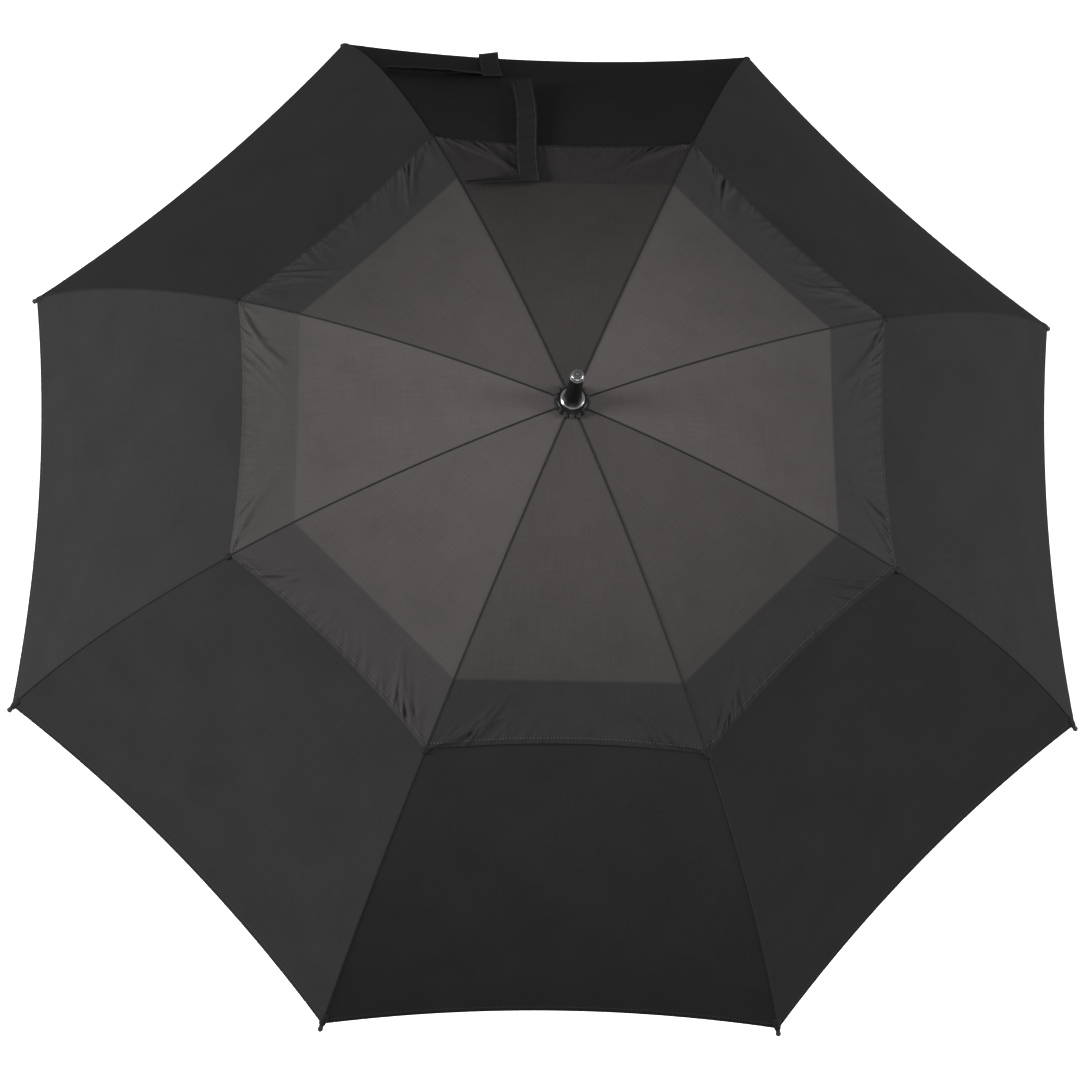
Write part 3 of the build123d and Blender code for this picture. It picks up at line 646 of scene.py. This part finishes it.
# %% [markdown]
# ## The two tie straps
# Two bands of doubled canopy cloth are sewn into one seam: the outer one wraps the rolled umbrella near its
# tips, and the inner one ties the vent layer.  Each lies across the gore, turns a corner and runs down the
# slope.  A strap is three ribbons, each along a smooth line through a few places on the gore: a root from the
# seam to the corner, which stands half on its edge and looks narrow there, a band that laps over the root and
# runs down the slope, and a smaller stitched patch on the band's end.

# %% Ribbon on the gore
STRAP_RIB = 3
STRAP_GORE = STRAP_RIB - 1
STRAP_THICKNESS = 0.0011


def smooth_line(places, count):
    """Even points on a curve through given points, by Catmull-Rom pieces."""
    places = np.array(places, float)
    padded = np.concatenate([[2 * places[0] - places[1]], places, [2 * places[-1] - places[-2]]])
    fine = []
    for k in range(len(places) - 1):
        p0, p1, p2, p3 = padded[k:k + 4]
        t = np.linspace(0, 1, 40, endpoint=False)[:, None]
        fine.append(0.5 * (2 * p1 + (p2 - p0) * t + (2 * p0 - 5 * p1 + 4 * p2 - p3) * t**2
                           + (3 * p1 - p0 - 3 * p2 + p3) * t**3))
    fine = np.concatenate(fine + [places[-1:]])
    run = np.concatenate([[0], np.cumsum(np.linalg.norm(np.diff(fine[:, :2], axis=0), axis=1))])
    even = np.linspace(0, run[-1], count)
    return np.stack([np.interp(even, run, fine[:, k]) for k in range(places.shape[1])], 1), even


def ribbon(name, places, lift, columns=13, rows=110, waves=0.0006):
    """Ribbon through places (out from the shaft, sideways, width, tilt in degrees) on the strap's gore."""
    line, run = smooth_line(places, rows)
    step = np.gradient(line[:, :2], axis=0)
    step /= np.linalg.norm(step, axis=1, keepdims=True)
    cross = np.stack([-step[:, 1], step[:, 0]], 1)
    v = np.linspace(-1, 1, columns)[None, :]
    half, tilt = line[:, 2:3] / 2, np.radians(line[:, 3:4])
    flat = half * v * np.cos(tilt)
    ripple = waves * np.sin(run[:, None] * 260 + 1.3 * v) * np.sin(run[:, None] * 71) * (0.4 + 0.6 * v**2)
    proud = half * (1 - v) * np.abs(np.sin(tilt)) + ripple + waves
    outward = line[:, 0:1] + cross[:, 0:1] * flat
    sideways = line[:, 1:2] + cross[:, 1:2] * flat
    s = np.vectorize(length_at)(outward / math.cos(HALF))
    points = on_gore(STRAP_GORE, s, sideways, lift, proud)
    edge = half * (1 - np.abs(v))
    return cloth_mesh(name, points, np.stack([run[:, None] + 0 * v, half * v], 2), edge, STRAP_THICKNESS)


def lay_strap(name, places, lift, body, nodes, **shape):
    """Ribbon as a piece: it rides on a body of its rib, and its cloth area is printed."""
    band = piece(name, ribbon(name, places, lift, **shape), body, strap_cloth)
    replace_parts(band, *nodes)
    gather(band, NOTCH_SLOPE if "inner" in body else TIP_SLOPE)
    area = declare(band)
    print(name, "sheet", round(area * 1e4, 1), "cm2")
    return band


LOWER_REST = LOWER_LIFT + 0.0017
UPPER_REST = UPPER_LIFT + 0.0030
BAND_WIDTH, PATCH_WIDTH = 0.024, 0.0232
BAND_WANDER, WANDER_RATE = 0.0015, 38


def aside_at(x, start, aside):
    """Sideways place of a band at a distance x from the shaft: almost straight, with a slow wander."""
    return aside + BAND_WANDER * math.sin(WANDER_RATE * (x - start))


# places of a root from the seam to the corner: out from the shaft, sideways, width, tilt
seam_legs = {
    "tie": ((0.4945, 0.200, 0.011, 34), (0.4955, 0.165, 0.014, 38), (0.4985, 0.130, 0.018, 30),
            (0.5050, 0.100, 0.020, 16), (0.5100, 0.076, 0.021, 6)),
    "vent": ((0.2785, 0.112, 0.012, 32), (0.2820, 0.088, 0.015, 32), (0.2865, 0.064, 0.018, 24),
             (0.2925, 0.052, 0.019, 12), (0.2965, 0.036, 0.019, 4)),
}
# where each band starts and ends, out from the shaft, and its place sideways
straight_legs = {"tie": (0.4995, 0.594, 0.074), "vent": (0.2868, 0.4785, 0.041)}
for word, lift, seam_body, patch_reach in (("tie", LOWER_REST, "rib_outer_4", 0.026),
                                           ("vent", UPPER_REST, "rib_inner_4", 0.0095)):
    start, end, aside = straight_legs[word]
    nodes, patch_nodes = [f"{word}_strap"], [f"{word}_strap_patch"]
    run = [(x, aside_at(x, start, aside), BAND_WIDTH, 3 * (1 - k))
           for k, x in enumerate(np.linspace(start, end, 6))]
    patch = [(x, aside_at(x, start, aside), PATCH_WIDTH, 0)
             for x in np.linspace(end - patch_reach, end - 0.0008, 3)]
    lay_strap(f"{word}_band_root", seam_legs[word], lift, seam_body, nodes, rows=70)
    lay_strap(f"{word}_band", run, lift + 0.0016, "rib_outer_4", nodes, waves=0.0008)
    lay_strap(f"{word}_band_patch", patch, lift + 0.0034, "rib_outer_4", patch_nodes, rows=20, waves=0.0001)

# %% [markdown]
# ## The spike, its collar and the rosette
# Over the canopy's neck sits a little pleated rosette of cloth, and on it a bright collar and a tapering
# black spike.  The spike ends in a bright band round a turned button.  All of these are turned on a lathe,
# so each is a profile spun round the shaft; only the rosette's edge waves in and out.

# %% Lathe
TURN_STEPS = 96


def lathe(name, profile, body, material, wave=None, steps=TURN_STEPS):
    """Spin an outline of (radius, height) points, closed on itself, round the shaft."""
    outline = np.array(profile, float)
    turn = np.linspace(0, 2 * math.pi, steps, endpoint=False)
    radius = np.repeat(outline[:, 0][None, :], steps, 0)
    height = np.repeat(outline[:, 1][None, :], steps, 0)
    if wave is not None:
        radius, height = wave(turn[:, None], radius, height)
    points = np.stack([radius * np.cos(turn)[:, None], radius * np.sin(turn)[:, None], height], 2)
    points = points.reshape(-1, 3)
    count = len(outline)
    i, j = np.meshgrid(np.arange(steps), np.arange(count), indexing="ij")
    next_i, next_j = (i + 1) % steps, (j + 1) % count
    here, up = (i * count + j).ravel(), (i * count + next_j).ravel()
    onward, onward_up = (next_i * count + j).ravel(), (next_i * count + next_j).ravel()
    mesh = bpy.data.meshes.new(name)
    mesh.from_pydata(points, [], np.stack([here, onward, onward_up, up], 1).tolist())
    mesh.shade_smooth()
    mesh.set_sharp_from_angle(angle=math.radians(38))
    return piece(name, mesh, body, material)


def arc(middle, radius, start, end, count=9):
    """Points on a circle's arc in the (radius, height) plane, angles in degrees."""
    return [(middle[0] + radius * math.cos(math.radians(a)), middle[1] + radius * math.sin(math.radians(a)))
            for a in np.linspace(start, end, count)]


def beside(radius, height, *steps):
    """Outline points given as steps in millimetres from a place in metres."""
    return [(radius + out / 1000, height + rise / 1000) for out, rise in steps]


print("lathe of", TURN_STEPS, "steps")

# %% Finishes of the spike
def moulded_finish(name, colour, roughness, grain_scale=700.0, grain=0.3, specular=0.5, coat=0.0):
    """Moulded plastic: a faint even grain and slow changes of gloss."""
    material, shader, base = finish(name, Specular_IOR_Level=specular, Coat_Roughness=0.12)
    place = base.node("TexCoord", None, None, out="Object")
    fine = base.node("TexNoise", None, {"Vector": place, "Scale": grain_scale, "Detail": 3.0})
    slow = base.node("TexNoise", None, {"Vector": place, "Scale": 60.0, "Detail": 2.0})
    set_wire(shader, "Base Color", mix(base, slow, [0.8 * c for c in colour], [1.25 * c for c in colour]))
    set_wire(shader, "Roughness", fine * 0.12 + slow * 0.10 + (roughness - 0.11))
    bump = base.node("Bump", None, {"Strength": grain, "Distance": 0.0002, "Height": fine})
    set_wire(shader, "Normal", bump)
    if coat:
        set_wire(shader, "Coat Weight", slow * 0.2 + (coat - 0.1))
    return material


def metal_finish(name, colour, roughness, turned=400.0):
    """Turned or drawn metal: fine rings in its height and a soft unevenness."""
    material, shader, base = finish(name, Metallic=1.0)
    place = base.node("TexCoord", None, None, out="Object")
    high = base.node("SeparateXYZ", None, {"Vector": place}, out=2)
    rings = base.node("TexNoise", None, {"Vector": base.node("CombineXYZ", None, {"X": high * turned}),
                                         "Scale": 10.0, "Detail": 2.0})
    slow = base.node("TexNoise", None, {"Vector": place, "Scale": 90.0})
    set_wire(shader, "Base Color", mix(base, slow, [0.86 * c for c in colour], colour))
    set_wire(shader, "Roughness", rings * 0.14 + slow * 0.08 + (roughness - 0.09))
    bump = base.node("Bump", None, {"Strength": 0.15, "Distance": 0.0001, "Height": rings})
    set_wire(shader, "Normal", bump)
    return material


gloss_black = moulded_finish("gloss_black", (0.0020, 0.0020, 0.0022), 0.30, grain=0.05, specular=0.24)
nylon = moulded_finish("nylon", (0.012, 0.012, 0.0125), 0.45)
bright_plate = metal_finish("bright_plate", (0.36, 0.365, 0.37), 0.22)
plain_steel = metal_finish("plain_steel", (0.55, 0.55, 0.56), 0.34)
button_plate = moulded_finish("button_plate", (0.045, 0.046, 0.048), 0.5, grain=0.1, specular=0.3)
rosette_cloth = sewn_finish("rosette_cloth", (0.015, 0.0146, 0.015), 0.003)

# %% Rosette
foot_low, foot_high = (np.array(corner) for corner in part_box("rosette"))
spike_low, spike_high = (np.array(corner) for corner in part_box("ferrule"))
collar_low, collar_high = (np.array(corner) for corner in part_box("ferrule_collar"))
PETALS = 16
PETAL_ROOT, PLEAT_HEIGHT = 0.010, 0.0013
ROSETTE_CROWN = 0.0125
SHAFT_SEAT = 0.0073
petal_foot, petal_top, petal_reach = float(foot_low[2]), float(foot_high[2]), float(foot_high[0])


def petals(turn, radius, height):
    """Pleat the rosette: its rim waves up and down and its outline swells between the pleats."""
    share = np.clip((radius - PETAL_ROOT) / (petal_reach - PETAL_ROOT), 0, 1)
    lobe = np.abs(np.cos(turn * PETALS / 2))
    pleat = np.cos(turn * PETALS)
    return (radius * (1 - share * 0.11 * (1 - lobe**0.6)),
            height + share * (PLEAT_HEIGHT * pleat + 0.0008))


rim_height = petal_foot + 0.0022
rosette_slope = []
for r in np.linspace(petal_reach - 0.0016, ROSETTE_CROWN, 12):
    share = ((r - ROSETTE_CROWN) / (petal_reach - ROSETTE_CROWN)) ** 0.8
    rosette_slope.append((r, rim_height + (petal_top - 0.0012 - rim_height) * (1 - share)))
rosette_outline = ([(SHAFT_SEAT, petal_foot + 0.0002), (0.014, petal_foot + 0.0002)]
                   + arc((petal_reach - 0.0009, petal_foot + 0.0010), 0.0009, -90, 90, 9)
                   + rosette_slope
                   + [(0.0120, petal_top - 0.0010), (SHAFT_SEAT, petal_top - 0.0010)])
rosette = lathe("pleated_rosette", rosette_outline, "shaft_frame", rosette_cloth, petals,
                steps=256)
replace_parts(rosette, "rosette")
print("rosette of", PETALS, "petals")

# %% Spike, band, button and flange
NECK_RADIUS = 0.0068
BAND_BELOW_TIP = 0.0092
spike_foot, spike_tip, foot_radius = float(spike_low[2]), float(spike_high[2]), float(spike_high[0])
skirt_top = float(collar_high[2])
band_height = spike_tip - BAND_BELOW_TIP
cone_foot, cone_height = skirt_top + 0.0030, band_height - skirt_top - 0.0045
cone = [(foot_radius - 0.0003 + (NECK_RADIUS + 0.0004 - foot_radius) * t**0.8, cone_foot + cone_height * t)
        for t in np.linspace(0, 1, 14)]
spike_outline = ([(0.0002, spike_foot), (foot_radius - 0.0006, spike_foot)]
                 + arc((foot_radius - 0.0006, spike_foot + 0.0006), 0.0006, -90, 0, 5)
                 + [(foot_radius, skirt_top - 0.0015)]
                 + arc((foot_radius - 0.0008, skirt_top + 0.0016), 0.0008, 0, 60, 5)
                 + cone
                 + beside(NECK_RADIUS, band_height, (-0.4, -0.9), (-0.4, 4.0))
                 + [(0.0002, band_height + 0.0040)])
spike = lathe("spike", spike_outline, "shaft_frame", gloss_black)
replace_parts(spike, "ferrule")
band_outline = (beside(NECK_RADIUS, band_height, (-1.6, -1.3), (-0.2, -1.3))
                + arc((NECK_RADIUS - 0.0003, band_height + 0.0004), 0.0013, -70, 60, 9)
                + arc((NECK_RADIUS - 0.0021, band_height + 0.0028), 0.0021, 0, 75, 8)
                + beside(NECK_RADIUS, band_height, (-3.0, 4.6), (-3.4, 3.2)))
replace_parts(lathe("spike_band", band_outline, "shaft_frame", bright_plate), "ferrule")
BUTTON_RADIUS, BOSS_RADIUS, BOSS_RISE = 0.0046, 0.0023, 0.0016
button_top = spike_tip - 0.0002
boss_foot = button_top - BOSS_RISE
boss = [(BOSS_RADIUS * math.cos(a), boss_foot + BOSS_RISE * math.sin(a)) for a in np.linspace(0.15, 1.5, 7)]
button_outline = ([(0.0001, band_height + 0.0030), (BUTTON_RADIUS, band_height + 0.0030),
                   (BUTTON_RADIUS, button_top - 0.0030)]
                  + arc((BUTTON_RADIUS - 0.0008, button_top - 0.0024), 0.0008, 0, 90, 6)
                  + beside(BOSS_RADIUS, boss_foot, (0.7, 0), (0.4, -0.7), (0, 0))
                  + boss + [(0.0001, button_top)])
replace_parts(lathe("spike_button", button_outline, "shaft_frame", button_plate), "ferrule")
flange_foot, collar_radius = float(collar_low[2]), float(collar_high[0])
flange_outline = (beside(collar_radius, flange_foot, (-0.6, -0.4), (2.4, -0.4))
                  + arc((collar_radius + 0.0020, flange_foot + 0.0010), 0.0012, -60, 90, 8)
                  + beside(collar_radius, flange_foot, (0.8, 2.6), (-0.6, 2.9)))
lathe("spike_flange", flange_outline, "shaft_frame", gloss_black)
print("spike", round((spike_tip - spike_foot) * 1000, 1), "mm")

# %% [markdown]
# ## The handle, the frame and the metalwork
# The handle is a long sleeve of soft foam.  Foam has no gloss and a fine pitted skin.  The rods are
# glass fibre: the fibres run lengthways and show as thin streaks under a satin resin, so the streaks are
# noise drawn out along the rod.  The crowns, the runner and the eyes are moulded nylon.

# %% Grip
grip_low, grip_high = (np.array(corner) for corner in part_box("grip"))
handle_foot, handle_top, handle_radius = float(grip_low[2]), float(grip_high[2]), float(grip_high[0])
GROOVES = (0.024, 0.030, 0.036)
GROOVE_DEPTH, GROOVE_HALF = 0.0009, 0.0012
heights = np.concatenate([np.linspace(handle_foot + 0.003, handle_top - 0.045, 26),
                          np.linspace(handle_top - 0.044, handle_top - 0.008, 72)])
below_top = handle_top - heights
swell = 0.0007 * np.cos((heights - handle_foot) / (handle_top - handle_foot) * 2 * math.pi)
dents = sum(GROOVE_DEPTH * np.exp(-(((below_top - g) / GROOVE_HALF) ** 2)) for g in GROOVES)
grip_outline = ([(SHAFT_SEAT, handle_foot), (handle_radius - 0.003, handle_foot)]
                + arc((handle_radius - 0.0028, handle_foot + 0.0024), 0.0024, -80, -5, 6)
                + [(handle_radius - 0.0008 + float(w) - float(d), float(h))
                   for w, d, h in zip(swell, dents, heights)]
                + arc((handle_radius - 0.0066, handle_top - 0.0062), 0.0060, 8, 88, 10)
                + [(SHAFT_SEAT, handle_top)])


def foam_finish():
    """Pitted skin of a foam handle, a little paler where hands rub it."""
    material, shader, base = finish("foam", Roughness=0.9, Specular_IOR_Level=0.25)
    place = base.node("TexCoord", None, None, out="Object")
    cells = base.node("TexVoronoi", None, {"Vector": place, "Scale": 1100.0})
    slow = base.node("TexNoise", None, {"Vector": place, "Scale": 28.0, "Detail": 4.0})
    pits = cells.step(0.10, 0.45)
    rubbed = slow * 0.6 + pits * 0.4
    set_wire(shader, "Base Color", mix(base, rubbed, (0.011, 0.011, 0.0115), (0.030, 0.029, 0.029)))
    set_wire(shader, "Roughness", pits * 0.15 + 0.74)
    set_wire(shader, "Normal", base.node("Bump", None, {"Strength": 0.6, "Distance": 0.0003, "Height": pits}))
    return material


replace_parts(lathe("foam_grip", grip_outline, "shaft_frame", foam_finish()), "grip")


# %% Frame finishes
def fibre_finish(name, colour, roughness, stretch):
    """Glass fibre rod: lengthways streaks under a satin resin; stretch squeezes the noise along the rod."""
    material, shader, base = finish(name, Specular_IOR_Level=0.45, Coat_Roughness=0.25)
    place = base.node("TexCoord", None, None, out="Object")
    drawn = base.node("Mapping", None, {"Vector": place, "Scale": stretch})
    streaks = base.node("TexNoise", None, {"Vector": drawn, "Scale": 1.0, "Detail": 4.0})
    slow = base.node("TexNoise", None, {"Vector": place, "Scale": 22.0})
    set_wire(shader, "Base Color", mix(base, streaks, [0.6 * c for c in colour], [1.7 * c for c in colour]))
    set_wire(shader, "Roughness", streaks * 0.16 + slow * 0.08 + (roughness - 0.12))
    bump = base.node("Bump", None, {"Strength": 0.18, "Distance": 0.0001, "Height": streaks})
    set_wire(shader, "Normal", bump)
    return material


rod_fibre = fibre_finish("rod_fibre", (0.012, 0.012, 0.0125), 0.34, (500, 500, 500))
tube_fibre = fibre_finish("tube_fibre", (0.010, 0.010, 0.0105), 0.28, (700, 700, 12))
CAD_FINISHES = {"shaft": tube_fibre, "end_cap": nylon, "runner": nylon, "top_notch": nylon,
                "neck_washer": rosette_cloth, "ferrule_collar": bright_plate, "notch_wire": plain_steel,
                "runner_wire": plain_steel, "notch_pin": plain_steel, "stop_pin": plain_steel,
                "top_catch": plain_steel, "bottom_catch": plain_steel}
for rib in range(RIBS):
    for part in ("rib_inner", "rib_outer", "stretcher"):
        CAD_FINISHES[f"{part}_{rib + 1}"] = rod_fibre
for node, material in CAD_FINISHES.items():
    for entry in frame["nodes"][node].material_slots:
        entry.material = material
print("frame nodes finished", len(CAD_FINISHES))

# %% [markdown]
# ## The floor
# The floor is a large plain sheet that glows a little, so that it stays pale under the lamps.  It is hidden
# from the light that bounces and reflects, because otherwise its glow would wash out the dark cloth.

# %% Floor
FLOOR = 60.0
floor_mesh = bpy.data.meshes.new("floor")
floor_mesh.from_pydata([(-FLOOR, -FLOOR, 0), (FLOOR, -FLOOR, 0), (FLOOR, FLOOR, 0), (-FLOOR, FLOOR, 0)], [],
                       [(0, 1, 2, 3)])
floor = bpy.data.objects.new("floor", floor_mesh)
bpy.context.scene.collection.objects.link(floor)
floor_paint, _, _ = finish("floor_paint", Base_Color=(0.85, 0.85, 0.85), Roughness=0.95,
                           Specular_IOR_Level=0.1, Emission_Color=(1, 1, 1), Emission_Strength=0.45)
floor_mesh.materials.append(floor_paint)
floor.visible_diffuse = False
floor.visible_glossy = False
